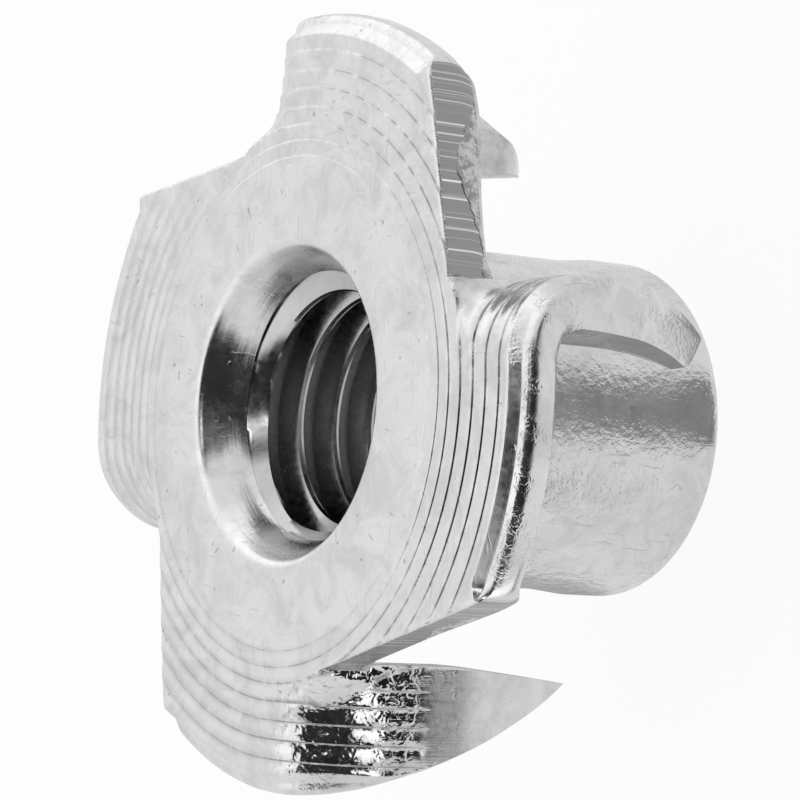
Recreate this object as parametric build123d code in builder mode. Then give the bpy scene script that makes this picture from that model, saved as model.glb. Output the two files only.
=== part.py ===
"""Four-prong tee nut for timber, pressed from one piece of steel: a threaded barrel that opens
into a round flange, whose rim is slit in four places and bent back into four prongs.

Millimetres. +Z runs along the thread axis, from the barrel's open end at the origin to the
flange's front face on top. Seen from the front, +X is to the right and +Y is up.
"""
from build123d import *
import os
from math import cos, radians, sin, tan

# Overall sizes
overall_length = 12.0
flange_diameter = 22.0
flange_thickness = 1.55
rim_front_bevel = 0.36
rim_back_bevel = 0.4

# Barrel
barrel_diameter = 9.8
barrel_mouth_diameter = 10.04
barrel_flare_length = 2.6
barrel_edge_round = 0.4
barrel_root_bevel = 0.5

# Thread M8 x 1.25: the solid has the core bore, cut wide at the front
thread_major_diameter = 8.0
thread_core_diameter = 6.65
thread_flank_angle = 30.0
thread_end_chamfer = 0.25
countersink_diameter = 9.66
countersink_depth = 1.28
countersink_lip_round = 0.45

# Concentric ridges pressed into the front face of the rim, between a smooth land round the
# mouth and a plain border along the edge
land_radius = 6.6
first_groove_radius = 6.92
groove_pitch = 0.51
groove_width = 0.3
groove_depth = 0.09
rim_border = 0.85

# Prongs: each is a strip of the rim, bent back a quarter turn along a radius
bend_outer_radius = 2.7
bend_angle = 90.0
ridges_past_bend = 0.9
prong_straight_edge = 5.6
prong_tip_step = 0.45
prong_tip_width = 0.2
prong_back_inset = 1.07
prong_back_depth = 4.3
prong_curl_start = 4.7
prong_curl = 1.05
prong_chisel_height = 1.05
prong_inner_curl = 0.45
seam_overlap = 0.1

# Where a lobe was sheared along its cut edge, the metal broke away slanting on the back
break_height = 0.7
break_width = 0.35

# The four lobes were slit and bent a little unevenly, so each has a row of its own: the
# direction of the radius where its bend starts, counted from the top of the front face
# anticlockwise, how far its cut edge lies from the axis, how far that edge leans over, and how
# far its prong's point lies behind the front face.
BEND_TURN, CUT_DISTANCE, CUT_LEAN, PRONG_LENGTH = range(4)
lobes = (
    (1.6, 8.13, 12.9, 9.15),
    (97.0, 7.49, 1.2, 9.0),
    (180.0, 6.79, 7.2, 9.25),
    (275.4, 7.81, 12.2, 8.55),
)

flange_radius = flange_diameter / 2
barrel_radius = barrel_diameter / 2
core_radius = thread_core_diameter / 2
major_radius = thread_major_diameter / 2
flange_back = overall_length - flange_thickness
thread_start = overall_length - countersink_depth
core_start = thread_start - (major_radius - core_radius) * tan(radians(thread_flank_angle))
last_groove_limit = flange_radius - rim_border - groove_width / 2
groove_count = 1 + int((last_groove_limit - first_groove_radius) / groove_pitch)


def body_section():
    """Half section of the barrel and the smooth middle of the flange, right of the axis."""
    mouth_radius = barrel_mouth_diameter / 2
    lip = (countersink_diameter / 2, overall_length)
    mouth_edge = (mouth_radius, 0)
    with BuildSketch() as section:
        with BuildLine():
            Polyline(
                (core_radius + thread_end_chamfer, 0),
                (core_radius, thread_end_chamfer),
                (core_radius, core_start),
                (major_radius, thread_start),
                lip,
                (land_radius, overall_length),
                (land_radius, flange_back),
                (barrel_radius + barrel_root_bevel, flange_back),
                (barrel_radius, flange_back - barrel_root_bevel),
                (barrel_radius, barrel_flare_length),
                mouth_edge,
                close=True,
            )
        make_face()
        fillet(section.vertices().sort_by_distance((*lip, 0))[0], countersink_lip_round)
        fillet(section.vertices().sort_by_distance((*mouth_edge, 0))[0], barrel_edge_round)
    return section.sketch


def rim_section(inner):
    """Half section of the ridged rim, from the inner radius outwards."""
    face = [(inner, overall_length)]
    for i in range(groove_count):
        middle = first_groove_radius + i * groove_pitch
        if middle - groove_width / 2 <= inner:
            continue
        face.append((middle - groove_width / 2, overall_length))
        face.append((middle, overall_length - groove_depth))
        face.append((middle + groove_width / 2, overall_length))
    with BuildSketch() as section:
        with BuildLine():
            Polyline(
                *face,
                (flange_radius - rim_front_bevel, overall_length),
                (flange_radius, overall_length - rim_front_bevel),
                (flange_radius, flange_back + rim_back_bevel),
                (flange_radius - rim_back_bevel, flange_back),
                (inner, flange_back),
                close=True,
            )
        make_face()
    return section.sketch


def notch(lobe, follower):
    """The gap past a lobe's cut edge, up to the radius where the next lobe clockwise bends.

    It is drawn with the lobe's own bend pointing up, so its cut edge is on the right.
    """
    lean = radians(lobe[CUT_LEAN])
    bend = radians(90 + follower[BEND_TURN] - lobe[BEND_TURN])
    root = lobe[CUT_DISTANCE] / cos(bend - lean)
    far = 2 * flange_diameter
    with BuildPart() as gap:
        with BuildSketch(Plane.XY.offset(flange_back - flange_thickness)):
            with BuildLine():
                Polyline(
                    (root * cos(bend), root * sin(bend)),
                    (far * cos(bend), far * sin(bend)),
                    (far, far),
                    (root * cos(bend) - far * sin(lean), root * sin(bend) + far * cos(lean)),
                    close=True,
                )
            make_face()
        extrude(amount=3 * flange_thickness)
    return gap.part


def is_cut_edge(edge):
    """Whether a straight edge passes outside the barrel, as the sheared ones do and the radii
    where the bends start don't."""
    distance = abs((edge @ 0.5).cross(edge % 0.5).Z)
    return edge.geom_type == GeomType.LINE and distance > barrel_radius


def torn_edge(lobe, neighbour, behind):
    """How far the neighbour's cut edge, which the prong was torn from, lies from the axis along
    the lobe's bend, at the given distance past the line where the bend starts."""
    slant = radians(neighbour[CUT_LEAN] + neighbour[BEND_TURN] - lobe[BEND_TURN])
    return (neighbour[CUT_DISTANCE] + behind * cos(slant)) / sin(slant)


def prong(lobe, neighbour):
    """The bent end of a lobe: a quarter bend of the ridged rim, then a flat pointed blade that
    curls inwards a little at its chisel tip.

    It is drawn with its bend pointing up and running to the left. Behind the flange, its inner
    edge keeps to the neighbour's cut edge, so that the back face stays clear.
    """
    root = torn_edge(lobe, neighbour, bend_outer_radius) - seam_overlap
    outside = -bend_outer_radius
    inside = outside + flange_thickness
    bend_end = overall_length - bend_outer_radius
    blade_start = bend_end - ridges_past_bend
    curl_start = overall_length - prong_curl_start
    tip = overall_length - lobe[PRONG_LENGTH]
    tip_reach = root + prong_tip_step
    above = overall_length + flange_thickness
    with BuildPart() as blade:
        with BuildSketch(Plane.YZ):
            add(rim_section(root))
        revolve(axis=Axis((0, 0, bend_end), (0, -1, 0)), revolution_arc=bend_angle)
        extrude(blade.faces().sort_by(Axis.Z)[0], amount=ridges_past_bend)
        with BuildSketch(Plane.XZ):
            with BuildLine():
                outer_face = Line((outside, blade_start), (outside, curl_start))
                outer_curl = TangentArc(
                    outer_face @ 1, (outside + prong_curl, tip), tangent=outer_face % 1
                )
                inner_face = Line((inside, blade_start), (inside, curl_start))
                inner_curl = TangentArc(
                    inner_face @ 1,
                    (inside + prong_inner_curl, tip + prong_chisel_height),
                    tangent=inner_face % 1,
                )
                Line(outer_curl @ 1, inner_curl @ 1)
                Line(outer_face @ 0, inner_face @ 0)
            make_face()
        extrude(amount=-flange_radius)
        with BuildSketch(Plane.YZ):
            with BuildLine():
                straight_edges = Polyline(
                    (flange_radius, overall_length),
                    (flange_radius, above),
                    (root, above),
                    (root, overall_length - prong_straight_edge),
                    (tip_reach, tip),
                    (tip_reach + prong_tip_width, tip),
                )
                ThreePointArc(
                    straight_edges @ 1,
                    (flange_radius - prong_back_inset, overall_length - prong_back_depth),
                    straight_edges @ 0,
                )
            make_face()
        extrude(amount=flange_radius, both=True, mode=Mode.INTERSECT)
        with BuildSketch(Plane.XY.offset(flange_back)):
            with BuildLine():
                Polyline(
                    (0, torn_edge(lobe, neighbour, 0)),
                    (2 * outside, torn_edge(lobe, neighbour, 2 * bend_outer_radius)),
                    (2 * outside, barrel_radius),
                    (0, barrel_radius),
                    close=True,
                )
            make_face()
        extrude(amount=-overall_length, mode=Mode.SUBTRACT)
    return blade.part


with BuildPart() as tee_nut:
    with BuildSketch(Plane.XZ):
        add(body_section())
    revolve(axis=Axis.Z)
    with BuildSketch(Plane.XZ):
        add(rim_section(land_radius))
    revolve(axis=Axis.Z)
    for i, lobe in enumerate(lobes):
        gap = notch(lobe, lobes[i - 1])
        add(gap, rotation=(0, 0, lobe[BEND_TURN]), mode=Mode.SUBTRACT)
    back_face = tee_nut.faces().filter_by(Plane.XY).group_by(Axis.Z)[1].sort_by(SortBy.AREA)[-1]
    cut_edges = back_face.edges().filter_by(is_cut_edge)
    chamfer(cut_edges, length=break_width, length2=break_height, reference=back_face)
    for i, lobe in enumerate(lobes):
        blade = prong(lobe, lobes[(i + 1) % len(lobes)])
        add(blade, rotation=(0, 0, lobe[BEND_TURN]))

tee_nut.part.label = "tee_nut"
os.makedirs("parts", exist_ok=True)
export_step(tee_nut.part, "parts/tee_nut.step")
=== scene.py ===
"""Looks of a four-prong tee nut: a dense mesh of its ridged rim, bent prongs and thread, in
zinc-plated steel, on a pale studio floor.

The frame's +Z runs along the thread axis, from the barrel's open end up to the flange's front
face. Seen from the front, +X is to the right and +Y is up. The nut's mesh is worked out in
millimetres and turned into metres when it is made.
"""
import math
from collections import namedtuple

import bmesh
import bpy
import numpy as np
from bpy.props import FloatProperty, FloatVectorProperty, IntProperty, PointerProperty
from mathutils import Matrix, Vector


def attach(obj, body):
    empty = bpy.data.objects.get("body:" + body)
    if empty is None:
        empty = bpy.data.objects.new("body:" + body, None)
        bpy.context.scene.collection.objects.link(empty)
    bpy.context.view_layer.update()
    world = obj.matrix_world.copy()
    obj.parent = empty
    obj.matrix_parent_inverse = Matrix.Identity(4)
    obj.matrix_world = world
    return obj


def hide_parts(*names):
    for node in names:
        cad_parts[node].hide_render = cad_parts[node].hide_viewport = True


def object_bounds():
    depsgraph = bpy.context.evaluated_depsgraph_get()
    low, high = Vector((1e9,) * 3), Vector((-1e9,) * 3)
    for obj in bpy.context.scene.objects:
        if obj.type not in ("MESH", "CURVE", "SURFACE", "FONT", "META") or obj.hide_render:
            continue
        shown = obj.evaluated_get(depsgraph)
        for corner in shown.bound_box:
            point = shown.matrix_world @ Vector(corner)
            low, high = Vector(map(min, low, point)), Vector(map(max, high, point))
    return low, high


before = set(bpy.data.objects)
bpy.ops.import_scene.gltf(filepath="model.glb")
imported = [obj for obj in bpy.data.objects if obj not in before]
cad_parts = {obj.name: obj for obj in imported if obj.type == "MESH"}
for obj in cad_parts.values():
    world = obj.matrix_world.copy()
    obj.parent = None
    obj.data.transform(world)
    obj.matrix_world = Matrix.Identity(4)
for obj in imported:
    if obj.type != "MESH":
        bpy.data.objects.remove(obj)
cad_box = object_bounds()

bl_info = {
    "name": "Tee nut",
    "version": (1, 0, 0),
    "blender": (4, 5, 0),
    "location": "View3D > Sidebar > Tee Nut",
    "description": "Builds a four-prong tee nut with its plated finish and a studio floor",
    "category": "Object",
}

MM = 0.001
NODE = "tee_nut"

# Each lobe of the flange, in degrees and millimetres: the direction where its bend starts, counted
# from the top of the front face anticlockwise, how far its cut edge lies from the axis and how far
# that edge leans, how far its prong's point lies behind the front face, its rim's radius, the
# rounding of its corner, how far out the prong's point lies from the blade's inner edge, the power
# with which the prong's back drops to the point, and how much the bending cracked the plating
Lobe = namedtuple(
    "Lobe", "turn cut_distance cut_lean prong_length rim_radius corner_round tip_step drop_power "
    "cracked")
LOBES = (
    Lobe(1.6, 8.13, 12.9, 9.25, 11.08, 0.35, 0.5, 3.0, 0.1),
    Lobe(97.0, 7.49, 1.2, 9.0, 11.08, 0.5, 0.45, 2.0, 0.05),
    Lobe(180.0, 6.79, 7.2, 9.3, 11.0, 1.0, 0.45, 2.0, 1.0),
    Lobe(275.4, 7.81, 12.2, 8.6, 11.0, 0.3, 0.45, 2.0, 0.3),
)

# Radii where the ridged face steps down, and how high each step is, as a share of the full height
RIDGE_STEPS = (6.99, 7.44, 7.89, 8.38, 8.91, 9.44, 10.0)
RIDGE_SHARES = (0.4, 0.65, 0.85, 1.0, 1.0, 1.0, 0.9)
# Over what length a step drops, how far the last ridge rises again, and how far the painted
# shade in a step's corner reaches
RIDGE_DROP = 0.06
LAST_RIDGE = 0.5
SHADE_REACH = 0.028
# The direction towards which the painted shade in the ridges' corners fades, in degrees from +X
# anticlockwise, the cosine of the angle to it where the fading starts, over what difference in that
# it grows, and the share of the painted shade that is gone there
SHADE_FADE_DIRECTION = 118
SHADE_FADE_COSINE = 0.72
SHADE_FADE_SOFTNESS = 0.25
SHADE_FADE_SHARE = 0.9
# Radii of the grids' rows: on the front face before the first step, round each step, and near the
# rim, and on the back face
LAND_ROWS = (6.2, 6.45, 6.7, 6.86)
STEP_ROWS = (-0.031, -0.015, 0.0, 0.015, 0.031, 0.16, 0.28)
LAST_ROW = 10.4
BACK_ROWS = (6.1, 6.7, 7.2, 7.9, 8.6, 9.3, 10.0)
# Width of the rings where the flange's fine columns pass into the barrel's coarse ones
RING_WIDTH = 0.2

# The rim's edge and a sheared edge, from front to back: how far inside the outline each point
# lies, and how deep in the sheet
RIM_EDGE = (
    (0.65, 0.0), (0.60, 0.02), (0.37, 0.25), (0.31, 0.275), (0.17, 0.30), (0.07, 0.37),
    (0.02, 0.48), (0.0, 0.66), (0.0, 0.9), (0.05, 1.1), (0.16, 1.29), (0.33, 1.45), (0.52, 1.55),
)
SHEARED_EDGE = (
    (0.16, 0.0), (0.09, 0.006), (0.05, 0.018), (0.02, 0.035), (0.005, 0.055), (0.0, 0.08),
    (0.0, 0.35), (0.0, 0.62), (0.0, 0.85), (0.01, 1.02), (0.05, 1.22), (0.11, 1.4), (0.2, 1.55),
)
# How many of those points belong to the front face, the point where the rim's finish starts, and
# the one behind which a cut edge's wall was torn and not sheared
FRONT_POINTS = 6
RIM_POINT = 3
TORN_POINT = 11
# Over what difference in radius the rim's edge passes into the sheared edge, and how far past the
# tear's end a slit is fully open
EDGE_BLEND = 0.5
OPENING_LENGTH = 0.8
# How far the burr hangs below the back face
BURR_HEIGHT = 0.22

# The web of metal that still hangs on beside a slit's end: its width on the front, the power with
# which it narrows, the bend's tightest arc there, and how far from the slit and past the tear's
# start the back hangs flat
WEB_WIDTH = 0.42
WEB_POWER = 2.2
TIGHTEST_ARC = 0.1
HANG_WIDTH = 0.5
HANG_LENGTH = 0.4
# A prong's blade: the depth behind the front face where it starts to curl, how far its back curls,
# how far its inner edge lies inside the cut edge beside it, the rounding where they meet, its
# least width next to the flange, how far its close columns reach, and how deep its ridges go
CURL_START = 4.7
BACK_CURL = 0.45
BLADE_OVERLAP = 0.2
BLADE_ROUND = 0.18
LEAST_WIDTH = 0.6
CLOSE_COLUMNS = 1.5
RIDGES_END = 3.4

# The flared mouth, from the face inwards: how far each point lies from the mouth's edge, and how
# deep, and how far inside the thread's grooves the flare ends
FLARE = (
    (-0.10, 0.0), (-0.16, 0.008), (-0.22, 0.024), (-0.275, 0.05), (-0.325, 0.088),
    (-0.37, 0.135), (-0.41, 0.195), (-0.455, 0.27), (-0.51, 0.365), (-0.575, 0.475),
    (-0.65, 0.60), (-0.74, 0.77), (-0.85, 1.0),
)
FLARE_END = 0.15
# The thread: its first crest's depth on the side of -X, half a crest's width and a flank's width as
# shares of the pitch, the slope of the flare over its top, and the chamfer at its end
CREST_DEPTH = 1.63
CREST_HALF = 0.03
FLANK_WIDTH = 0.34
FLARE_SLOPE = 1.15
THREAD_CHAMFER = 0.05

# The lattice whose cells make one point of the corners in them, in millimetres, and its shift,
# which keeps round numbers off the cells' borders
CELL = 1e-4
CELL_SHIFT = 0.37
# Edges sharper than this, in degrees, aren't shaded smooth
SHARP_ANGLE = 32

# Zones of the surface, each with a finish of its own
FACE, RIM, SHEARED, TORN, THREAD, BARREL = range(6)

# Colours of the painted shade in the ridges' corners and of cracks, of nicks, of a sheared edge's
# streaks, and of broken metal and the shade between its grains
SHADE_AND_CRACKS = (0.10, 0.10, 0.105, 1)
NICK = (0.25, 0.25, 0.25, 1)
STREAK = (0.8, 0.8, 0.8, 1)
BROKEN = (0.62, 0.62, 0.625, 1)
GRAIN_SHADE = (0.20, 0.20, 0.205, 1)

# The camera's place in millimetres from the nut's origin, its axes, its lens, and its sensor
CAMERA_PLACE = (78.563, -3.547, 63.048)
CAMERA_RIGHT = (0.57501459, 0.05782771, -0.81609692)
CAMERA_DOWN = (0.0, -0.99749892, -0.07068165)
CAMERA_FORWARD = (-0.81814315, 0.04064298, -0.57357644)
CAMERA_LENS = 149.686
CAMERA_SENSOR = 36
# Half the floor's width in metres
FLOOR_HALF = 0.6
# Cards round the nut: the level of each, and its corners in millimetres. Two grey ones lie on the
# floor beside the barrel, a third stands on the outer edge of the first, and further out stand a
# black one with a bright one on top of it, and a wide black one. The three grey cards are painted
# shade that only reflections see: darker patches of floor and wall beside the barrel, where the
# metal reflects the shade under the flange and the prongs.
CARDS = (
    (0.33, ((5.1, -0.44, 0.02), (7.9, -0.78, 0.02), (7.9, 3.4, 0.02), (5.1, 2.0, 0.02))),
    (0.33, ((7.9, -0.78, 0.0), (7.9, 3.4, 0.0), (7.9, 3.4, 6.6), (7.9, -0.78, 6.6))),
    (0.5, ((0.5, -5.4, 0.02), (-3.2, -4.6, 0.02), (-15.0, -7.5, 0.02), (-7.5, -16.0, 0.02))),
    (0.02, ((11.5, -10.5, 0.0), (11.5, -7.0, 0.0), (11.5, -7.0, 7.0), (11.5, -10.5, 7.0))),
    (1.7, ((11.5, -12.0, 7.0), (11.5, -6.5, 7.0), (11.5, -6.5, 13.0), (11.5, -12.0, 13.0))),
    (0.02, ((45.0, -45.0, 0.0), (45.0, 45.0, 0.0), (45.0, 45.0, 20.0), (45.0, -45.0, 20.0))),
)
# Fields of the room's light: elevation, azimuth from +X towards +Y, half angle and softness in
# degrees, and level. The first is bright and overhead, the second a soft light on the far side, the
# third dark on the camera's side, and the last a small light inside the dark.
ROOM_FIELDS = (
    (90, 180, 36, 28, 1.4),
    (8, 125, 34, 14, 1.5),
    (48, -8, 43, 5, 0.03),
    (57, 30, 7, 1.5, 3.0),
)


class NutSizes(bpy.types.PropertyGroup):
    """Sizes of the nut."""

    thickness: FloatProperty(
        name="Sheet thickness", description="Thickness of the flange and prongs",
        default=1.55 * MM, unit="LENGTH",
    )
    length: FloatProperty(
        name="Length", description="From the barrel's open end to the front face",
        default=12.0 * MM, unit="LENGTH",
    )
    barrel_radius: FloatProperty(
        name="Barrel radius", description="Outer radius of the barrel next to the flange",
        default=4.9 * MM, unit="LENGTH",
    )
    mouth_radius: FloatProperty(
        name="Mouth radius", description="Outer radius of the barrel at its open end",
        default=5.02 * MM, unit="LENGTH",
    )
    thread_major: FloatProperty(
        name="Thread major radius", description="Radius at the bottom of the thread's grooves",
        default=4.0 * MM, unit="LENGTH",
    )
    thread_minor: FloatProperty(
        name="Thread minor radius", description="Radius at the thread's crests",
        default=3.325 * MM, unit="LENGTH",
    )
    thread_pitch: FloatProperty(
        name="Thread pitch", description="Distance between two turns of the thread",
        default=1.25 * MM, unit="LENGTH",
    )
    countersink_radius: FloatProperty(
        name="Countersink radius", description="Radius of the flared mouth at the front face",
        default=4.83 * MM, unit="LENGTH",
    )
    countersink_depth: FloatProperty(
        name="Countersink depth", description="Depth where the flare meets the thread",
        default=1.28 * MM, unit="LENGTH",
    )
    land_radius: FloatProperty(
        name="Land radius", description="Outer radius of the smooth land round the mouth",
        default=6.2 * MM, unit="LENGTH",
    )
    root_radius: FloatProperty(
        name="Root radius", description="Where the barrel's root runs out on the back face",
        default=5.4 * MM, unit="LENGTH",
    )
    bend_radius: FloatProperty(
        name="Bend radius", description="Outer radius of the bends that make the prongs",
        default=2.7 * MM, unit="LENGTH",
    )
    ridge_height: FloatProperty(
        name="Ridge height", description="Height of each step on the ridged face",
        default=0.047 * MM, unit="LENGTH",
    )
    tear_start: FloatProperty(
        name="Tear start", description="Where the tear beside a bend starts on the back",
        default=1.1 * MM, unit="LENGTH",
    )
    tear_end: FloatProperty(
        name="Tear end", description="Where the tear beside a bend reaches the front",
        default=2.6 * MM, unit="LENGTH",
    )
    tip_curl: FloatProperty(
        name="Tip curl", description="How far a prong's point leans inwards",
        default=1.05 * MM, unit="LENGTH",
    )
    column_angle: FloatProperty(
        name="Column angle", description="Angle between two columns of the flange's mesh",
        default=math.radians(0.8), subtype="ANGLE",
    )
    barrel_step: IntProperty(
        name="Barrel step", description="Columns of the flange to each column of the barrel",
        default=2, min=1,
    )


# A patch of surface: its points as a grid, what its finish follows there (the ridges' radius, or
# the distance along a sheared edge), the zone of each cell or of them all, how much painted shade
# lies in a ridge's corner, and how much the bending cracked the plating
Patch = namedtuple("Patch", "points follow zone crease crackle", defaults=(0.0, 0.0))
FINISH_VALUES = ("follow", "crease", "crackle")
# The nut's sizes in millimetres
Sizes = namedtuple("Sizes", list(NutSizes.__annotations__))


def sizes_in_mm(settings):
    """The sizes as plain numbers, lengths in millimetres and angles in radians."""
    plain = {"column_angle": 1, "barrel_step": 1}
    return Sizes(**{name: getattr(settings, name) / plain.get(name, MM) for name in Sizes._fields})


def smooth(x):
    """A smooth step: 3 t squared less 2 t cubed, with t held between 0 and 1."""
    t = np.clip(x, 0, 1)
    return t * t * (3 - 2 * t)


def soft_least(a, b, reach):
    """The lesser of a and b, rounded where they differ by less than the reach."""
    blend = np.clip(reach - np.abs(a - b), 0, None) / reach
    return np.minimum(a, b) - blend * blend * reach / 4


def ridge_shape(radius, height):
    """Height of the ridged face against the radius: a saw of slow rises and sharp drops.

    Each step takes its height away over a short length, and the land behind it rises by two thirds
    of that up to the next step. The first steps are lower.
    """
    steps, share = np.array(RIDGE_STEPS), np.array(RIDGE_SHARES)
    fallen = smooth((radius[..., None] - steps + RIDGE_DROP / 2) / RIDGE_DROP)
    drop = (fallen * share).sum(axis=-1)
    rise = np.interp(
        radius, np.append(steps, steps[-1] + LAST_RIDGE), np.append(0, np.cumsum(share)))
    return height * (rise * 2 / 3 - drop)


def ridge_corner_shade(radius, angle):
    """How much painted shade lies in the ridges' corners: a bell of the distance to the nearest
    step, less towards the direction where that shade fades."""
    apart = (radius[..., None] - np.array(RIDGE_STEPS)) / SHADE_REACH
    cosine = np.cos(angle - math.radians(SHADE_FADE_DIRECTION))
    kept = 1 - SHADE_FADE_SHARE * smooth((cosine - SHADE_FADE_COSINE) / SHADE_FADE_SOFTNESS)
    return (np.exp(-apart ** 2) * np.array(RIDGE_SHARES)).sum(axis=-1) * kept


class Slit:
    """The slit between a lobe's cut edge and the prong beside it, which bends back on the lobe
    before, clockwise. Distances along the bend are counted from the line where it starts."""

    def __init__(self, lobe, before, size):
        self.lobe, self.before, self.size = lobe, before, size
        self.start = math.radians(90 + before.turn)
        self.end = self.start + math.radians((lobe.turn - before.turn) % 360)
        self.normal = self.start + math.radians(
            (lobe.turn - before.turn) % 360 - 90 + lobe.cut_lean)
        self.slant = self.normal - self.start + math.pi / 2

    def edge(self, along):
        """How far out the cut edge lies, along the bend line, at a distance past that line."""
        return (self.lobe.cut_distance + along * math.cos(self.slant)) / math.sin(self.slant)

    def angle(self, along):
        """Direction from the axis to the cut edge's point at a distance past the bend line."""
        return self.start + np.arctan2(along, self.edge(along))

    def cut_radius(self, angle):
        """Distance from the axis to the cut edge in a direction: its least distance over the
        cosine of the angle to its normal, which is held above 0.05, far beyond the rim."""
        return self.lobe.cut_distance / np.maximum(np.cos(angle - self.normal), 0.05)

    def tear_depth(self, along):
        """Depth in the sheet down to which the slit is still joined, from the whole sheet where
        the tear starts to none where it reaches the front."""
        size = self.size
        progress = (along - size.tear_start) / (size.tear_end - size.tear_start)
        return size.thickness * (1 - smooth(progress))

    def opening(self, along):
        """0 where the slit is still joined at the front, and 1 where it is fully open."""
        return smooth((along - self.size.tear_end) / OPENING_LENGTH)


def edge_rows(radius, cut, opening):
    """Insets and depths of the edge's points for each column.

    The rim's edge and the sheared edge are mixed by how far the cut line lies inside the rim, and
    everything shrinks to the outline where the slit isn't open yet.
    """
    rim, sheared = np.array(RIM_EDGE), np.array(SHEARED_EDGE)
    share = smooth((cut - radius) / EDGE_BLEND + 0.5)[:, None, None]
    mixed = sheared + (rim - sheared) * share
    return mixed[..., 0] * opening[:, None], mixed[..., 1]


def lobe_angles(slit):
    """Directions of a lobe's columns, from the bend line before it to its own.

    The columns stand closer beside the tear, with 8 steps up to its start and 13 to its end, and
    one stands on the lobe's corner.
    """
    size, lobe = slit.size, slit.lobe
    torn = np.concatenate([
        np.linspace(0, size.tear_start, 9)[:-1], np.linspace(size.tear_start, size.tear_end, 14)
    ])
    corner = slit.normal + math.acos(lobe.cut_distance / lobe.rim_radius)
    first = slit.angle(torn)
    middle_count = round((corner - first[-1]) / size.column_angle)
    last_count = round((slit.end - corner) / size.column_angle)
    last_count += -(len(first) - 1 + middle_count + last_count) % int(size.barrel_step)
    middle = np.linspace(first[-1], corner, middle_count + 1)[1:]
    last = np.linspace(corner, slit.end, last_count + 1)[1:]
    return torn, np.concatenate([first, middle, last])


def polar(radius, angle, height):
    """Points from their distance to the axis, direction and height."""
    return np.stack([radius * np.cos(angle), radius * np.sin(angle), height], axis=-1)


def sheet_height(size, radius, share):
    """Height at a share of the way from the ridged front face to the plain back face."""
    front = size.length + ridge_shape(radius, size.ridge_height)
    return front * (1 - share) + (size.length - size.thickness) * share


def burr_height(slit, cut, outline, radius, share):
    """How far the burr hangs below the back face. It grows where the outline's radius goes from 8.6
    to 10.2 mm, fades over 2.6 mm inwards from the outline, keeps to the cut edge and its corner,
    and is nothing at the wall's top."""
    burr = BURR_HEIGHT * smooth((outline - 8.6) / 1.6) * smooth(1.2 - (outline - radius) / 2.2)
    burr = burr * smooth((slit.lobe.rim_radius + 0.6 - cut) / 1.5)
    return burr * (share - share[:, :1]) / (1 - share[:, :1] + 1e-9)


def lobe_patches(slit, face_radii, back_radii):
    """The flat part of a lobe as two grids, whose columns run out from the axis.

    One covers the front face with its ridges, and the other the edge's wall and the back face.
    Rows at fixed radii stop at the outline, which is the lesser of the rim and the cut edge. A
    point at a depth lies that share of the way from the front face to the back face.
    """
    size, rim_radius = slit.size, slit.lobe.rim_radius
    torn, angle = lobe_angles(slit)
    angle = angle[:, None]
    cut = slit.cut_radius(angle)
    along = cut[:, 0] * np.sin(angle[:, 0] - slit.start)
    along[:len(torn)] = torn
    outline = soft_least(np.full_like(cut, rim_radius), cut, slit.lobe.corner_round)
    opening = slit.opening(along)
    inset, depth = edge_rows(rim_radius, cut[:, 0], opening)
    front_depth = depth[:, :FRONT_POINTS] * opening[:, None]
    top = np.maximum(slit.tear_depth(along)[:, None], front_depth[:, -1:])
    wall, wall_top = depth[:, FRONT_POINTS - 1:], depth[:, FRONT_POINTS - 1:FRONT_POINTS]
    wall_share = (wall - wall_top) / (size.thickness - wall_top)
    wall_depth = top + (size.thickness - top) * wall_share

    rows = np.minimum(face_radii, outline - inset[:, :1])
    radius = np.concatenate([rows, outline - inset[:, :FRONT_POINTS]], axis=1)
    share = np.concatenate([np.zeros_like(rows), front_depth / size.thickness], axis=1)
    zone = np.full((len(angle) - 1, radius.shape[1] - 1), FACE)
    zone[:, RIM_POINT + 1 - FRONT_POINTS:] = RIM
    # The front carries the painted shade in the ridges' corners
    front = Patch(polar(radius, angle, sheet_height(size, radius, share)), radius, zone,
                  ridge_corner_shade(radius, angle))

    rows = np.minimum(back_radii, outline - inset[:, -1:])[:, ::-1]
    wall_radius = outline - inset[:, FRONT_POINTS - 1:]
    radius = np.concatenate([wall_radius, rows], axis=1)
    share = np.concatenate([wall_depth / size.thickness, np.ones_like(rows)], axis=1)
    zone = np.full((len(angle) - 1, radius.shape[1] - 1), FACE)
    is_cut = (cut[:-1] + cut[1:]) / 2 < rim_radius
    wall_cells = wall_radius.shape[1] - 1
    zone[:, :wall_cells] = np.where(is_cut, SHEARED, RIM)
    zone[:, TORN_POINT + 1 - FRONT_POINTS:wall_cells] = np.where(is_cut, TORN, RIM)
    # The way along the cut edge, set apart from the other slits' so that no streaks repeat
    run = cut * np.sin(np.clip(angle - slit.normal, -1.3, 1.3)) + 10 * slit.normal
    follow = np.where(np.arange(radius.shape[1]) <= wall_cells, run, radius)
    height = sheet_height(size, radius, share) - burr_height(slit, cut, outline, radius, share)
    return front, Patch(polar(radius, angle, height), follow, zone)


def curl_progress(depth, end):
    """0 down to the depth where the prongs start to curl, and 1 at the end."""
    return np.clip((depth - CURL_START) / (end - CURL_START), 0, 1)


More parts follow.
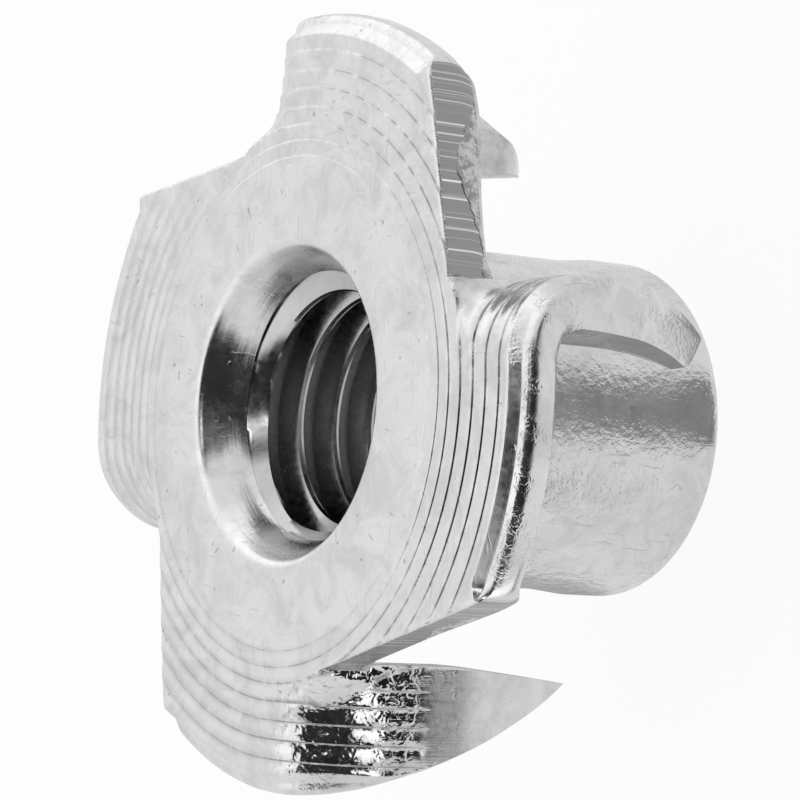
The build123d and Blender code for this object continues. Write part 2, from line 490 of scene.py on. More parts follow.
def prong_surfaces(along, across, slit, lobe):
    """Front and back surfaces of a lobe's bent end, as points at a distance along the sheet past
    the bend line and a distance out along that line.

    The front runs flat, round an arc and straight down. Close to the slit's end the sheet still
    hangs on its neighbour: there the flat part reaches further, and the arc is tighter. The back
    runs round an arc about one axis. Both faces of the blade then curl inwards with the square of
    the depth, and the last part of the back slants to the point.
    """
    size = slit.size
    thickness, bend, length = size.thickness, size.bend_radius, lobe.prong_length
    straight = bend * math.pi / 2
    from_slit = np.clip(across - slit.edge(along), 0, None)
    flat = size.tear_end / (1 + (from_slit / WEB_WIDTH) ** WEB_POWER)
    arc = np.maximum(bend - flat, TIGHTEST_ARC)
    flat = bend - arc
    path = flat + arc * math.pi / 2 + bend - arc
    travelled = np.where(
        along <= flat, along, flat + (along - flat) * (path - flat) / (straight - flat))
    turned = np.clip((travelled - flat) / arc, 0, math.pi / 2)
    below = np.clip(travelled - flat - arc * math.pi / 2, 0, None)
    deep = np.clip(along - straight, 0, None)
    below = np.where(along > straight, bend - arc + deep, below)
    depth = bend + deep
    curl = size.tip_curl * curl_progress(depth, length) ** 2
    x = -np.minimum(along, flat) - arc * np.sin(turned) + curl
    z = size.length - arc * (1 - np.cos(turned)) - below
    front = np.stack([x, across, z], axis=-1)
    normal = np.stack([-np.sin(turned), np.zeros_like(x), np.cos(turned)], axis=-1)

    inner = bend - thickness
    turned = np.clip(along / bend, 0, math.pi / 2)
    chisel = length - size.tip_curl
    tip_gap = thickness - size.tip_curl + BACK_CURL
    slant = np.clip((depth - chisel) / (length - chisel), 0, 1) ** 1.5
    x = -inner * np.sin(turned) + (BACK_CURL * curl_progress(depth, chisel) ** 2 - tip_gap * slant)
    z = size.length - bend + inner * np.cos(turned) - deep
    hanging = (1 - smooth(from_slit / HANG_WIDTH)) * (
        1 - smooth((along - size.tear_start) / HANG_LENGTH))
    x = x + (-along - x) * hanging
    z = z + (size.length - thickness - z) * hanging
    return front, normal, np.stack([x, across, z], axis=-1)


def prong_outline(slit, lobe, along, depth, tip):
    """How far out the inner and the outer edge of a bent end lie, for a distance along the sheet.

    The inner edge follows the slit's cut edge as far as the blade, runs straight, and moves out to
    the point while the blade curls. The outer edge leaves the rim by a power of the distance, and
    stays outside the inner one.
    """
    root = slit.edge(slit.size.bend_radius) - BLADE_OVERLAP
    inner = -soft_least(-slit.edge(along), np.full_like(along, -root), BLADE_ROUND)
    inner = inner + lobe.tip_step * curl_progress(depth, lobe.prong_length)
    to_point = lobe.rim_radius - root - lobe.tip_step
    outer = lobe.rim_radius - to_point * (along / tip) ** lobe.drop_power
    return inner, np.maximum(outer, inner + LEAST_WIDTH * (1 - along / tip))


def prong_patch(slit, lobe, face_radii, back_radii):
    """A lobe's bent end as one grid: each column runs round the sheet's section, from the inner
    edge over the front to the rim, and over the back to the inner edge again."""
    size = slit.size
    torn, _ = lobe_angles(slit)
    straight = size.bend_radius * math.pi / 2
    tip = straight + lobe.prong_length - size.bend_radius
    bend_part = np.linspace(size.tear_end, straight + CLOSE_COLUMNS, 33)[1:]
    blade_part = np.linspace(straight + CLOSE_COLUMNS, tip, 36)[1:]
    along = np.concatenate([torn, bend_part, blade_part])[:, None]
    depth = np.clip(along - straight, 0, None) + size.bend_radius
    inner, outer = prong_outline(slit, lobe, along, depth, tip)

    # The edges' rounding shrinks where the blade is narrower than 1.6 mm, and to a quarter between
    # 1.8 and 5 mm past the bend line
    rim, sheared = np.array(RIM_EDGE), np.array(SHEARED_EDGE)
    opening = slit.opening(along)
    room = np.clip((outer - inner) / 1.6, 0, 1) * (1 - 0.75 * smooth((along - 1.8) / 3.2))
    inner_inset = sheared[:, 0] * opening * room
    outer_inset = rim[:, 0] * room
    face_low, face_high = inner + inner_inset[:, :1], outer - outer_inset[:, :1]
    back_low, back_high = inner + inner_inset[:, -1:], outer - outer_inset[:, -1:]
    count = len(along)
    first = FRONT_POINTS - 1

    joined = np.where(along <= size.tear_end, slit.tear_depth(along), 0)
    inner_top = np.maximum(joined, sheared[first, 1] * opening)
    wall_share = (sheared[first:, 1] - sheared[first, 1]) / (size.thickness - sheared[first, 1])
    inner_wall = inner_top + (size.thickness - inner_top) * wall_share

    across = np.concatenate([
        inner + inner_inset[:, first::-1],
        np.clip(face_radii, face_low, face_high),
        outer - outer_inset,
        np.clip(back_radii[::-1], back_low, back_high),
        inner + inner_inset[:, :first - 1:-1],
    ], axis=1)
    share = np.concatenate([
        sheared[first::-1, 1] * opening / size.thickness,
        np.zeros((count, len(face_radii))),
        np.broadcast_to(rim[:, 1] / size.thickness, (count, len(rim))),
        np.ones((count, len(back_radii))),
        inner_wall[:, ::-1] / size.thickness,
    ], axis=1)

    # The ridges are arcs about the axis beside the slit and straight from 0.9 mm out, and they
    # fade out over 0.5 mm of the blade
    along_grid = np.broadcast_to(along, across.shape)
    front, normal, back = prong_surfaces(along_grid, across, slit, lobe)
    near = 1 - smooth((across - slit.edge(along_grid)) / 0.9)
    ridge = across + (np.hypot(across, along_grid) - across) * near
    fade = 1 - smooth((depth - RIDGES_END) / 0.5)
    front = front + normal * (ridge_shape(ridge, size.ridge_height) * fade)[..., None]
    points = front + (back - front) * share[..., None]

    # Where the slit is still joined, its inner wall starts at the tear's own edge
    wall = slice(across.shape[1] - inner_wall.shape[1], None)
    torn_count = len(torn)
    edge_front = front[:torn_count, :1]
    flat_back = np.stack([-along[:torn_count], inner[:torn_count],
                          np.full((torn_count, 1), size.length - size.thickness)], axis=-1)
    crack = edge_front + (flat_back - edge_front) * (joined[:torn_count, :, None] / size.thickness)
    lowest = points[:torn_count, wall][:, :1]
    points[:torn_count, wall] = crack + (lowest - crack) * wall_share[::-1][None, :, None]

    turn = slit.start - math.pi / 2
    cosine, sine = math.cos(turn), math.sin(turn)
    x, y = points[..., 0].copy(), points[..., 1].copy()
    points[..., 0] = x * cosine - y * sine
    points[..., 1] = x * sine + y * cosine
    zone = np.full((count - 1, across.shape[1] - 1), FACE)
    outer_edge = FRONT_POINTS + len(face_radii)
    zone[:, outer_edge:outer_edge + len(rim) - 1] = RIM
    zone[:, -len(wall_share):] = TORN
    # The plating is cracked on the bend's front, from 0.9 mm past its start to 0.3 mm past its end
    on_front = share < 0.5
    bending = smooth(along_grid / 0.9) * (1 - smooth((along_grid - straight - 0.3) / 0.9))
    # Painted shade in the ridges' corners, on the bend's front only
    crease = ridge_corner_shade(ridge, slit.start) * fade * on_front
    return Patch(points, ridge, zone, crease, lobe.cracked * bending * on_front)


def face_rows(slits):
    """Radii of the front face's rows: close together at each ridge, and one at each slit's start,
    so that the rows of a lobe, its prong and its neighbour meet there."""
    ridges = [step + offset for step in RIDGE_STEPS for offset in STEP_ROWS]
    return with_starts([*LAND_ROWS, *ridges, LAST_ROW], slits)


def with_starts(radii, slits):
    """The radii in order, and each slit's start in place of any that lies within 0.02 mm of it."""
    starts = np.array([slit.edge(0.0) for slit in slits])
    kept = [r for r in radii if np.abs(starts - r).min() > 0.02]
    return np.sort(np.concatenate([kept, starts]))


def turned_profile(angle, profile):
    """A grid of a profile's radii and heights, turned about the axis."""
    radius, height = np.array(profile).T
    radius = np.broadcast_to(radius, (len(angle), len(radius)))
    return polar(radius, angle[:, None], np.broadcast_to(height, radius.shape))


def arc_points(centre, radius, start, end, count=6):
    """Points of an arc between two directions in degrees, its ends included."""
    angle = np.radians(np.linspace(start, end, count))
    return [(centre[0] + radius * math.cos(a), centre[1] + radius * math.sin(a)) for a in angle]


def barrel_patches(angle, size):
    """The smooth land, flared mouth and barrel as profiles turned about the axis, and the thread.
    The barrel's edge has a radius of 0.4 mm, and the barrel tapers up to 2.8 mm from its end."""
    length, lip = size.length, size.countersink_radius
    flare = [(lip + inset, length - depth) for inset, depth in FLARE]
    flare.append((size.thread_major - FLARE_END, length - size.countersink_depth))
    land = [(radius, length) for radius in (size.land_radius - RING_WIDTH, 5.7, 5.4, 5.15)]
    mouth = Patch(turned_profile(angle, land + flare), None, FACE)

    edge = 0.4
    root = size.root_radius - size.barrel_radius
    rim = [(size.thread_major + THREAD_CHAMFER, 0.0), (4.3, 0.0), (size.mouth_radius - edge, 0.0)]
    rim += arc_points((size.mouth_radius - edge, edge), edge, -90, 0)[1:]
    taper = [(size.mouth_radius, 1.0), (size.mouth_radius, 1.6)]
    taper += [(size.barrel_radius, z) for z in (2.8, 4.2, 5.6, 7.0, 8.4)]
    back = length - size.thickness
    corner = arc_points((size.root_radius, back - root), root, 180, 90)
    outside = Patch(turned_profile(angle, rim + taper + corner), None, BARREL)
    return [mouth, thread_patch(angle, size), outside]


def thread_patch(angle, size, rows_per_turn=12):
    """The thread's surface on a grid whose rows climb with the helix.

    Along a turn, the height rises by one pitch. The radius is the greatest of the thread's
    section, the flare below its top and the chamfer at its end, and at the very top it is the
    flare's. The section goes from the crest to the groove by a smooth step of the distance from
    the crest, in pitches.
    """
    pitch, top = size.thread_pitch, size.length - size.countersink_depth
    crest = size.length - CREST_DEPTH
    climb = (angle[:, None] - math.pi) / (2 * math.pi)
    low = math.floor(-crest / pitch - climb.max()) - 1
    high = math.ceil((top - crest) / pitch - climb.min()) + 1
    phase = np.linspace(low, high, (high - low) * rows_per_turn + 1)[None, :]
    height = np.clip(crest + pitch * (climb + phase), 0, top)
    turn = (height - crest) / pitch - climb
    from_crest = np.abs(turn - np.round(turn))
    section = size.thread_minor + (size.thread_major - size.thread_minor) * smooth(
        (from_crest - CREST_HALF) / FLANK_WIDTH)
    flare = size.thread_major - FLARE_END - FLARE_SLOPE * (top - height)
    chamfer = size.thread_major + THREAD_CHAMFER - height
    radius = np.maximum(np.maximum(section, flare), chamfer)
    radius = np.where(height >= top, flare, radius)
    return Patch(polar(radius, angle[:, None], height), None, THREAD)


def stitch(fine, coarse, step):
    """Triangles between a ring of many points and a ring with one point for each step of them:
    each coarse edge fans out to the fine points beside it, half from each of its ends."""
    fine, coarse = np.vstack([fine, fine[:1]]), np.vstack([coarse, coarse[:1]])
    starts = np.arange(0, len(fine) - 1, step)
    near, far = coarse[:-1], coarse[1:]
    half = (step + 1) // 2
    fans = []
    for k in range(step):
        corner = near if k < half else far
        fans.append(np.stack([corner, fine[starts + k], fine[starts + k + 1]], axis=1))
    fans.append(np.stack([near, fine[starts + half], far], axis=1))
    return np.concatenate(fans)


def patch_triangles(patch):
    """Two triangles for each cell of a patch, split along its shorter diagonal, and their zones.
    A corner is its place and what its finish follows there."""
    follow = patch.follow
    if follow is None:
        follow = np.hypot(patch.points[..., 0], patch.points[..., 1])
    values = [np.broadcast_to(value, follow.shape)[..., None]
              for value in (follow, patch.crease, patch.crackle)]
    corners = np.concatenate([patch.points, *values], axis=-1)
    a, b, c, d = corners[:-1, :-1], corners[1:, :-1], corners[1:, 1:], corners[:-1, 1:]
    split = np.linalg.norm((a - c)[..., :3], axis=-1) <= np.linalg.norm((b - d)[..., :3], axis=-1)
    split = split[..., None, None]
    first = np.where(split, np.stack([a, b, c], -2), np.stack([a, b, d], -2))
    second = np.where(split, np.stack([a, c, d], -2), np.stack([b, c, d], -2))
    zone = np.broadcast_to(patch.zone, a.shape[:2]).ravel()
    size = corners.shape[-1]
    return (np.concatenate([first.reshape(-1, 3, size), second.reshape(-1, 3, size)]),
            np.concatenate([zone, zone]))


def nut_triangles(size):
    """All triangles of the nut, whose corners carry the finish's values, and their zones."""
    slits = sorted((Slit(lobe, LOBES[i - 1], size) for i, lobe in enumerate(LOBES)),
                   key=lambda slit: slit.start)
    face_radii = face_rows(slits)
    back_radii = with_starts([size.root_radius + RING_WIDTH, *BACK_ROWS], slits)
    patches, angles = [], []
    for slit in slits:
        patches += lobe_patches(slit, face_radii, back_radii)
        patches.append(prong_patch(slit, slit.before, face_radii, back_radii))
        angles.append(lobe_angles(slit)[1][:-1])
    fine = np.concatenate(angles)
    step = int(size.barrel_step)
    coarse = fine[::step]
    closed = np.append(coarse, coarse[0] + 2 * math.pi)
    patches += barrel_patches(closed, size)

    triangles, zones = (list(parts) for parts in zip(*map(patch_triangles, patches)))
    back = size.length - size.thickness
    for outer, inner, height in ((face_radii[0], size.land_radius - RING_WIDTH, size.length),
                                 (back_radii[0], size.root_radius, back)):
        ring = stitch(polar(outer, fine, np.full_like(fine, height)),
                      polar(inner, coarse, np.full_like(coarse, height)), step)
        plain = np.zeros(ring.shape[:2] + (len(FINISH_VALUES) - 1,))
        radius = np.hypot(ring[..., :1], ring[..., 1:2])
        triangles.append(np.concatenate([ring, radius, plain], axis=-1))
        zones.append(np.full(len(ring), FACE))
    return np.concatenate(triangles), np.concatenate(zones)


def weld(triangles, zones):
    """Shared points and faces of loose triangles: corners that fall in the same cell of a fine
    lattice become one point, and triangles that lose a corner are dropped. Also gives each kept
    face's zone and the finish's values for each of its corners."""
    corners = triangles.reshape(-1, triangles.shape[-1])
    cells = np.floor(corners[:, :3] / CELL + CELL_SHIFT).astype(np.int64)
    _, first, index = np.unique(cells, axis=0, return_index=True, return_inverse=True)
    faces = index.reshape(-1, 3)
    whole = (faces != np.roll(faces, 1, axis=1)).all(axis=1)
    values = corners[:, 3:].reshape(len(faces), 3, -1)[whole]
    return corners[first, :3], faces[whole], zones[whole], values


class FinishSettings(bpy.types.PropertyGroup):
    """Colours and gloss of the nut's plated finish."""

    plating: FloatVectorProperty(
        name="Plating", description="Colour of the zinc plating",
        subtype="COLOR", default=(0.67, 0.67, 0.675), min=0, max=1,
    )
    dull: FloatVectorProperty(
        name="Dull spots", description="Colour of pits and dull spots in the plating",
        subtype="COLOR", default=(0.30, 0.30, 0.305), min=0, max=1,
    )
    sheared: FloatVectorProperty(
        name="Sheared steel", description="Colour of the burnished part of a sheared edge",
        subtype="COLOR", default=(0.28, 0.28, 0.285), min=0, max=1,
    )
    # The thread's colour is darker than the plating's: painted shade for the inside of the bore
    thread: FloatVectorProperty(
        name="Thread", description="Colour of the thread, where the plating is thin and oily",
        subtype="COLOR", default=(0.45, 0.45, 0.455), min=0, max=1,
    )
    face_roughness: FloatProperty(
        name="Face roughness", description="Roughness of the smooth plating",
        default=0.24, min=0, max=1, subtype="FACTOR",
    )
    torn_roughness: FloatProperty(
        name="Torn roughness", description="Roughness where the sheet tore",
        default=0.45, min=0, max=1, subtype="FACTOR",
    )


class StudioSettings(bpy.types.PropertyGroup):
    """Floor and light of the studio."""

    floor: FloatVectorProperty(
        name="Floor", description="Colour of the floor",
        subtype="COLOR", default=(0.88, 0.88, 0.88), min=0, max=1,
    )
    floor_glow: FloatProperty(
        name="Floor white", description="How much of pure white the camera sees in the floor",
        default=0.93, min=0, max=1, subtype="FACTOR",
    )
    floor_gleam: FloatProperty(
        name="Floor gleam", description="How much of pure white reflections see in the floor",
        default=0.95, min=0, max=1, subtype="FACTOR",
    )
    room_light: FloatProperty(
        name="Room light", description="Strength of the even light from all round",
        default=1.0, min=0,
    )


class Graph:
    """Adds nodes to a node tree and links them."""

    def __init__(self, tree):
        self.tree = tree

    def add(self, kind, settings=(), **inputs):
        """A new node with its settings; an input is a socket to link or a plain value, and its
        name has underscores for spaces, or is an underscore and its place among the inputs."""
        node = self.tree.nodes.new(kind)
        for name, value in dict(settings).items():
            setattr(node, name, value)
        for name, value in inputs.items():
            socket = node.inputs[int(name[1:])] if name[0] == "_" else node.inputs[
                name.replace("_", " ")]
            if isinstance(value, bpy.types.NodeSocket):
                self.tree.links.new(value, socket)
            else:
                socket.default_value = value
        return node

    def math(self, operation, a, b=0.0):
        """The result of a maths operation on two values."""
        return self.add("ShaderNodeMath", {"operation": operation}, _0=a, _1=b).outputs[0]

    def times(self, a, b):
        """The product of two values."""
        return self.math("MULTIPLY", a, b)

    def scaled_sum(self, value, factor, plus):
        """The value times the factor, plus another value."""
        return self.add("ShaderNodeMath", {"operation": "MULTIPLY_ADD"}, _0=value, _1=factor,
                        _2=plus).outputs[0]

    def vector(self, **parts):
        """A vector of the given X, Y and Z."""
        return self.add("ShaderNodeCombineXYZ", **parts).outputs[0]

    def ramp(self, value, low, high, start=0.0, end=1.0):
        """A smooth rise of the result from start to end while the value goes from low to high."""
        node = self.add(
            "ShaderNodeMapRange", {"interpolation_type": "SMOOTHSTEP"}, Value=value,
            From_Min=low, From_Max=high, To_Min=start, To_Max=end)
        return node.outputs["Result"]

    def noise(self, vector, scale, detail=2.0, roughness=0.5, distortion=0.0):
        """Noise about 0.5; the scale is how many bumps it has to one unit of the vector."""
        node = self.add(
            "ShaderNodeTexNoise", Vector=vector, Scale=scale, Detail=detail,
            Roughness=roughness, Distortion=distortion)
        return node.outputs["Fac"]

    def mix(self, factor, a, b):
        """A mix of two colours."""
        node = self.add("ShaderNodeMix", {"data_type": "RGBA"}, _0=factor, _6=a, _7=b)
        return node.outputs[2]

    def stretched(self, vector, turn, stretch):
        """The vector turned and then stretched, for marks that run one way."""
        node = self.add("ShaderNodeMapping", Vector=vector, Rotation=turn, Scale=stretch)
        return node.outputs[0]


def node_group(name, inputs, outputs):
    """An empty shader node group with sockets of the given kinds, and its input sockets."""
    tree = bpy.data.node_groups.new(name, "ShaderNodeTree")
    for direction, sockets in (("INPUT", inputs), ("OUTPUT", outputs)):
        for socket, kind in sockets.items():
            tree.interface.new_socket(socket, in_out=direction, socket_type="NodeSocket" + kind)
    graph = Graph(tree)
    entry = graph.add("NodeGroupInput")
    return tree, graph, entry.outputs


def wear_group():
    """Marks of handling and plating: dull pits and scratches, uneven gloss, grain and clumps."""
    tree, graph, entry = node_group(
        "plating_wear",
        {"Vector": "Vector", "Pits": "Float", "Scratches": "Float", "Clumps": "Float"},
        {"Dull": "Float", "Gloss": "Float", "Height": "Float"})
    place = entry["Vector"]
    mottle = graph.noise(place, 420, 4, 0.6)
    blotches = graph.ramp(graph.noise(place, 650, 8, 0.72, 0.8), 0.38, 0.7, 0.0, 0.34)
    grain = graph.noise(place, 5200, 3, 0.6)

    # Pits are the middles of cells, whose places are bent a little, in some patches only
    bent = graph.add("ShaderNodeVectorMath", {"operation": "MULTIPLY_ADD"}, _0=graph.add(
        "ShaderNodeTexNoise", Vector=place, Scale=4000, Detail=2).outputs["Color"],
        _1=(0.2 * MM,) * 3, _2=place).outputs[0]
    cells = graph.add("ShaderNodeTexVoronoi", Vector=bent, Scale=2300, Randomness=1.0)
    patchy = graph.ramp(graph.noise(place, 900, 1), 0.52, 0.66)
    pits = graph.times(graph.ramp(cells.outputs["Distance"], 0.05, 0.22, 1, 0), patchy)
    pits = graph.times(pits, entry["Pits"])

    # Scratches are the peaks of noise that is stretched along three directions
    scratch = None
    for turn, stretch in (
        ((0.4, 0.3, 0.5), (9500, 900, 900)), ((0.5, 0.3, -0.9), (12000, 700, 700)),
        ((0.9, 0.5, 1.2), (1100, 11000, 900)),
    ):
        marks = graph.ramp(graph.noise(graph.stretched(bent, turn, stretch), 1, 0), 0.74, 0.84)
        scratch = marks if scratch is None else graph.math("MAXIMUM", scratch, marks)
    scratch = graph.times(scratch, entry["Scratches"])

    # Clumps lie between the lines where a noise crosses its middle, in some patches only
    worms = graph.math("ABSOLUTE", graph.math(
        "SUBTRACT", graph.noise(place, 4600, 2, 0.6, 0.6), 0.5))
    bare = graph.ramp(graph.noise(place, 1300, 2), 0.42, 0.6)
    clumps = graph.times(graph.ramp(worms, 0.0, 0.16), graph.times(bare, entry["Clumps"]))

    dull = graph.math("MAXIMUM", pits, graph.times(scratch, 0.6))
    dull = graph.math("MAXIMUM", dull, blotches)
    gloss = graph.math("ADD", graph.ramp(mottle, 0.35, 0.65, -0.06, 0.06),
                       graph.ramp(grain, 0.3, 0.7, -0.03, 0.05))
    height = graph.scaled_sum(grain, 0.12, clumps)
    height = graph.math("SUBTRACT", height, graph.times(pits, 0.5))
    height = graph.math("SUBTRACT", height, graph.times(scratch, 0.25))
    graph.add("NodeGroupOutput", Dull=dull, Gloss=gloss, Height=height)
    return tree


def new_material(name):
    """A new material, the graph of its nodes, and its shader."""
    material = bpy.data.materials.new(name)
    material.use_nodes = True
    return material, Graph(material.node_tree), material.node_tree.nodes["Principled BSDF"]


def metal_material(name, wear, colour, dull, roughness, pits=0.0, scratches=0.0, clumps=0.0,
                   relief=0.02, marks=None):
    """Plated or bare steel with the wear group's marks, whose relief is in millimetres.

    The marks function, where there is one, adds what only this finish has: it takes the graph, the
    place, the colour, the roughness and the height, and gives the last three back changed.
    """
    material, graph, shader = new_material(name)
    place = graph.add("ShaderNodeTexCoord").outputs["Object"]
    group = graph.add("ShaderNodeGroup", {"node_tree": wear}, Vector=place, Pits=pits,
                      Scratches=scratches, Clumps=clumps)
    tint = graph.mix(group.outputs["Dull"], (*colour, 1), (*dull, 1))
    rough = graph.math("ADD", group.outputs["Gloss"], roughness)
    height = group.outputs["Height"]
    if marks:
        tint, rough, height = marks(graph, place, tint, rough, height)
    bump = graph.add("ShaderNodeBump", Strength=1.0, Distance=relief * MM, Height=height)
    for name, value in (("Base Color", tint), ("Roughness", rough), ("Normal", bump.outputs[0])):
        graph.tree.links.new(value, shader.inputs[name])
    shader.inputs["Metallic"].default_value = 1.0
    return material


def mesh_value(graph, name):
    """One of the finish's values, which the mesh carries."""
    return graph.add("ShaderNodeAttribute", {"attribute_name": name}).outputs["Fac"]


def face_marks(graph, place, tint, rough, height):
    """Fine rings that run with the ridges, short nicks round the mouth, painted shade in the
    ridges' corners, and cracked plating on the bends."""
    radius = mesh_value(graph, "follow")
    height = graph.scaled_sum(graph.noise(graph.vector(X=radius), 9.0, 3, 0.7), 0.35, height)

    parts = graph.add("ShaderNodeSeparateXYZ", Vector=place)
    angle = graph.math("ARCTAN2", parts.outputs["Y"], parts.outputs["X"])
    polar_place = graph.vector(X=graph.times(angle, 30.0), Y=graph.times(radius, 1.6))
    nicks = graph.ramp(graph.noise(polar_place, 1.0, 1), 0.70, 0.78)
    near_mouth = graph.times(graph.ramp(radius, 4.7, 5.2), graph.ramp(radius, 6.9, 6.2))
    nicks = graph.times(nicks, near_mouth)
    tint = graph.mix(graph.times(nicks, 0.5), tint, NICK)
    height = graph.math("SUBTRACT", height, graph.times(nicks, 0.4))

    # Painted shade in the ridges' corners, made uneven by a noise
    crease = mesh_value(graph, "crease")
    uneven = graph.ramp(graph.noise(place, 2100, 3), 0.3, 0.6, 0.2, 0.75)
    tint = graph.mix(graph.times(crease, uneven), tint, SHADE_AND_CRACKS)

    crackle = mesh_value(graph, "crackle")
    cracks = graph.noise(place, 2700, 2, 0.6, 0.3)
    height = graph.scaled_sum(graph.times(cracks, crackle), 2.8, height)
    tint = graph.mix(graph.times(crackle, graph.ramp(cracks, 0.52, 0.62, 0, 0.3)), tint, SHADE_AND_CRACKS)
    rough = graph.math("SUBTRACT", rough, graph.times(crackle, 0.15))
    return tint, rough, height


def shear_marks(graph, place, tint, rough, height):
    """Streaks across the sheet, one beside the other along the cut edge, and behind a wandering
    line the coarse grain of the metal that broke away, with a roughness of its own.

    The line lies at a height over the barrel's end: it climbs in the middle of the cut edge's run,
    and wanders by a noise of the way along the edge.
    """
    run = graph.vector(X=mesh_value(graph, "follow"))
    streaks = graph.noise(run, 4.5, 3, 0.8)
    tint = graph.mix(graph.ramp(streaks, 0.52, 0.62), tint, STREAK)
    height = graph.scaled_sum(streaks, 1.5, height)

    parts = graph.add("ShaderNodeSeparateXYZ", Vector=place)
    flat_place = graph.vector(X=parts.outputs["X"], Y=parts.outputs["Y"])
    radius = graph.add(
        "ShaderNodeVectorMath", {"operation": "LENGTH"}, _0=flat_place).outputs["Value"]
    swell = graph.times(graph.ramp(radius, 10.3 * MM, 9.5 * MM),
                        graph.ramp(radius, 8.4 * MM, 9.2 * MM, 0.35, 1.0))
    wander = graph.ramp(graph.noise(run, 1.1, 2, 0.6), 0.3, 0.7, -0.12 * MM, 0.12 * MM)
    line = graph.scaled_sum(swell, 0.8 * MM, graph.math("ADD", wander, 10.45 * MM))
    broken = graph.ramp(graph.math("SUBTRACT", line, parts.outputs["Z"]), 0.0, 0.05 * MM)
    tint = graph.mix(broken, tint, BROKEN)
    grain = graph.noise(place, 3800, 3, 0.65)
    tint = graph.mix(
        graph.times(broken, graph.ramp(grain, 0.42, 0.6, 0, 0.7)), tint, GRAIN_SHADE)
    height = graph.scaled_sum(graph.times(broken, grain), 5.0, height)
    return tint, graph.ramp(broken, 0, 1, 0.25, 0.45), height


def barrel_marks(graph, place, tint, rough, height):
    """Pebbled plating on the barrel."""
    return tint, rough, graph.scaled_sum(graph.noise(place, 4600, 3, 0.6), 2.6, height)


def nut_materials(finish):
    """The finishes of the surface's zones, in the zones' order."""
    wear = wear_group()
    plating, dull = finish.plating, finish.dull
    return [
        metal_material("plated_face", wear, plating, dull, finish.face_roughness, pits=0.8,
                       scratches=0.5, marks=face_marks),
        metal_material("plated_rim", wear, plating, dull, finish.face_roughness, pits=0.5,
                       clumps=0.45, relief=0.022),
        metal_material("sheared_edge", wear, finish.sheared, dull, 0.25, marks=shear_marks),
        metal_material("torn_edge", wear, plating, dull, finish.torn_roughness, pits=1.0,
                       clumps=0.8, relief=0.06),
        metal_material("thread", wear, finish.thread, dull, 0.17, relief=0.006),
        metal_material("plated_barrel", wear, plating, dull, finish.face_roughness, pits=0.5,
                       scratches=0.7, marks=barrel_marks),
    ]


class TEENUT_OT_nut(bpy.types.Operator):
    """Build the nut's mesh in the place of its plain solid"""

    bl_idname = "teenut.nut"
    bl_label = "Nut"

    def execute(self, context):
        points, faces, zones, values = weld(*nut_triangles(sizes_in_mm(context.scene.nut_sizes)))
        mesh = bpy.data.meshes.new("nut_dressed")
        mesh.from_pydata((points * MM).tolist(), [], faces.tolist())
        mesh.polygons.foreach_set("material_index", zones.astype(np.int32))
        for i, name in enumerate(FINISH_VALUES):
            attribute = mesh.attributes.new(name, "FLOAT", "CORNER")
            attribute.data.foreach_set("value", values[..., i].ravel().astype(np.float32))
        for material in nut_materials(context.scene.nut_finish):
            mesh.materials.append(material)
        nut = bpy.data.objects.new("nut_dressed", mesh)
        context.scene.collection.objects.link(nut)
        point_outwards(mesh)
        mesh.shade_smooth()
        mesh.set_sharp_from_angle(angle=math.radians(SHARP_ANGLE))
        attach(nut, "root")
        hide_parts(NODE)
        return {"FINISHED"}


def point_outwards(mesh):
    """Turns every face of a closed mesh outwards."""
    work = bmesh.new()
    work.from_mesh(mesh)
    bmesh.ops.recalc_face_normals(work, faces=work.faces)
    work.to_mesh(mesh)
    work.free()


def floor_material(settings):
    """A pale floor that keeps the nut's shadow, and is nearly white to the camera and to
    reflections."""
    material, graph, shader = new_material("floor")
    shader.inputs["Base Color"].default_value = (*settings.floor, 1)
    shader.inputs["Roughness"].default_value = 0.9
    path = graph.add("ShaderNodeLightPath")
    mirrored = graph.math("MAXIMUM", path.outputs["Is Glossy Ray"],
                          path.outputs["Is Transmission Ray"])
    glow = graph.times(path.outputs["Is Camera Ray"], settings.floor_glow)
    glow = graph.scaled_sum(mirrored, settings.floor_gleam, glow)
    white = graph.add("ShaderNodeEmission", Strength=1.0)
    both = graph.add("ShaderNodeMixShader", _0=glow, _1=shader.outputs[0], _2=white.outputs[0])
    output = graph.tree.nodes["Material Output"]
    graph.tree.links.new(both.outputs[0], output.inputs["Surface"])
    return material


def studio_world(settings):
    """Even white light from all round, with a dark side and soft lights in it.

    Each field of ROOM_FIELDS lies where a direction's dot product with the way to the field's
    middle is above the cosine of its half angle, and takes the place of the fields before it. The
    camera sees plain white.
    """
    world = bpy.data.worlds.new("studio")
    world.use_nodes = True
    graph = Graph(world.node_tree)
    way = graph.add("ShaderNodeTexCoord").outputs["Generated"]
    strength = settings.room_light
    for elevation, azimuth, half_angle, softness, level in ROOM_FIELDS:
        up, round_ = math.radians(elevation), math.radians(azimuth)
        middle = (math.cos(up) * math.cos(round_), math.cos(up) * math.sin(round_), math.sin(up))
        near = graph.add("ShaderNodeVectorMath", {"operation": "DOT_PRODUCT"}, _0=way,
                         _1=middle).outputs["Value"]
        inside = graph.ramp(near, math.cos(math.radians(half_angle + softness)),
                            math.cos(math.radians(max(half_angle - softness, 0))))
        strength = graph.add("ShaderNodeMix", _0=inside, _2=strength,
                             _3=level * settings.room_light).outputs[0]
    seen = graph.add("ShaderNodeLightPath").outputs["Is Camera Ray"]
    strength = graph.add("ShaderNodeMix", _0=seen, _2=strength, _3=1.0).outputs[0]
    background = world.node_tree.nodes["Background"]
    background.inputs["Color"].default_value = (1, 1, 1, 1)
    world.node_tree.links.new(strength, background.inputs["Strength"])
    return world


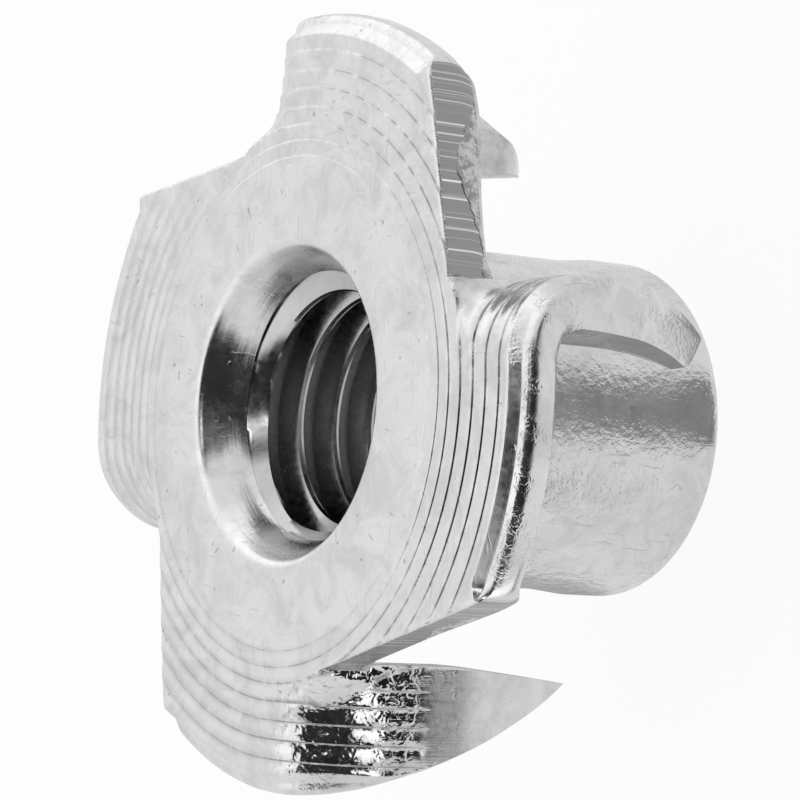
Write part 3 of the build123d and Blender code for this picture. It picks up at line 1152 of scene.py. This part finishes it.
def card(name, level, corners):
    """A plain card beside the nut, which only reflections see: its level is how bright it looks in
    them, where the room is about 1."""
    mesh = bpy.data.meshes.new(name)
    mesh.from_pydata([tuple(value * MM for value in corner) for corner in corners], [],
                     [tuple(range(len(corners)))])
    material, _, shader = new_material(name)
    for socket, value in (("Base Color", (0, 0, 0, 1)), ("Specular IOR Level", 0),
                          ("Emission Color", (1, 1, 1, 1)), ("Emission Strength", level)):
        shader.inputs[socket].default_value = value
    mesh.materials.append(material)
    sheet = bpy.data.objects.new(name, mesh)
    sheet.visible_camera = sheet.visible_shadow = sheet.visible_diffuse = False
    return sheet


def studio_camera():
    """The camera, whose object looks along its own -Z with its +Y up."""
    camera = bpy.data.cameras.new("camera")
    camera.lens = CAMERA_LENS
    camera.sensor_width = CAMERA_SENSOR
    camera.clip_start, camera.clip_end = 0.005, 5
    holder = bpy.data.objects.new("camera", camera)
    right, down, forward = (Vector(axis) for axis in (CAMERA_RIGHT, CAMERA_DOWN, CAMERA_FORWARD))
    turn = Matrix((right, -down, -forward)).transposed().to_4x4()
    holder.matrix_world = Matrix.Translation(Vector(CAMERA_PLACE) * MM) @ turn
    return holder


class TEENUT_OT_studio(bpy.types.Operator):
    """Add the floor, the light and the camera"""

    bl_idname = "teenut.studio"
    bl_label = "Studio"

    def execute(self, context):
        scene = context.scene
        settings = scene.nut_studio
        mesh = bpy.data.meshes.new("floor")
        half, low = FLOOR_HALF, cad_box[0][2]
        corners = [(-half, -half, low), (half, -half, low), (half, half, low), (-half, half, low)]
        mesh.from_pydata(corners, [], [(0, 1, 2, 3)])
        mesh.materials.append(floor_material(settings))
        floor = bpy.data.objects.new("floor", mesh)
        scene.collection.objects.link(floor)

        for i, (level, corners) in enumerate(CARDS):
            scene.collection.objects.link(card(f"card_{i + 1}", level, corners))
        scene.world = studio_world(settings)
        scene.view_settings.view_transform = "Standard"
        scene.camera = studio_camera()
        scene.collection.objects.link(scene.camera)
        return {"FINISHED"}


class TEENUT_PT_panel(bpy.types.Panel):
    """Lists the nut's parts and their settings"""

    bl_idname = "TEENUT_PT_panel"
    bl_label = "Tee Nut"
    bl_space_type = "VIEW_3D"
    bl_region_type = "UI"
    bl_category = "Tee Nut"

    def draw(self, context):
        layout = self.layout
        scene = context.scene
        for operator, settings in (
            (TEENUT_OT_nut, (scene.nut_sizes, scene.nut_finish)),
            (TEENUT_OT_studio, (scene.nut_studio,)),
        ):
            layout.operator(operator.bl_idname)
            box = layout.box()
            for group in settings:
                for name in group.__annotations__:
                    box.prop(group, name)


CLASSES = (
    NutSizes, FinishSettings, StudioSettings, TEENUT_OT_nut, TEENUT_OT_studio, TEENUT_PT_panel,
)
SETTINGS = {
    "nut_sizes": NutSizes, "nut_finish": FinishSettings, "nut_studio": StudioSettings,
}


def register():
    """Registers the classes and gives every scene their settings."""
    for cls in CLASSES:
        bpy.utils.register_class(cls)
    for name, group in SETTINGS.items():
        setattr(bpy.types.Scene, name, PointerProperty(type=group))


def unregister():
    """Takes the settings and the classes away again."""
    for name in SETTINGS:
        delattr(bpy.types.Scene, name)
    for cls in reversed(CLASSES):
        bpy.utils.unregister_class(cls)


def main():
    """Builds the nut and its studio."""
    register()
    bpy.ops.teenut.nut()
    bpy.ops.teenut.studio()


if __name__ == "__main__":
    main()
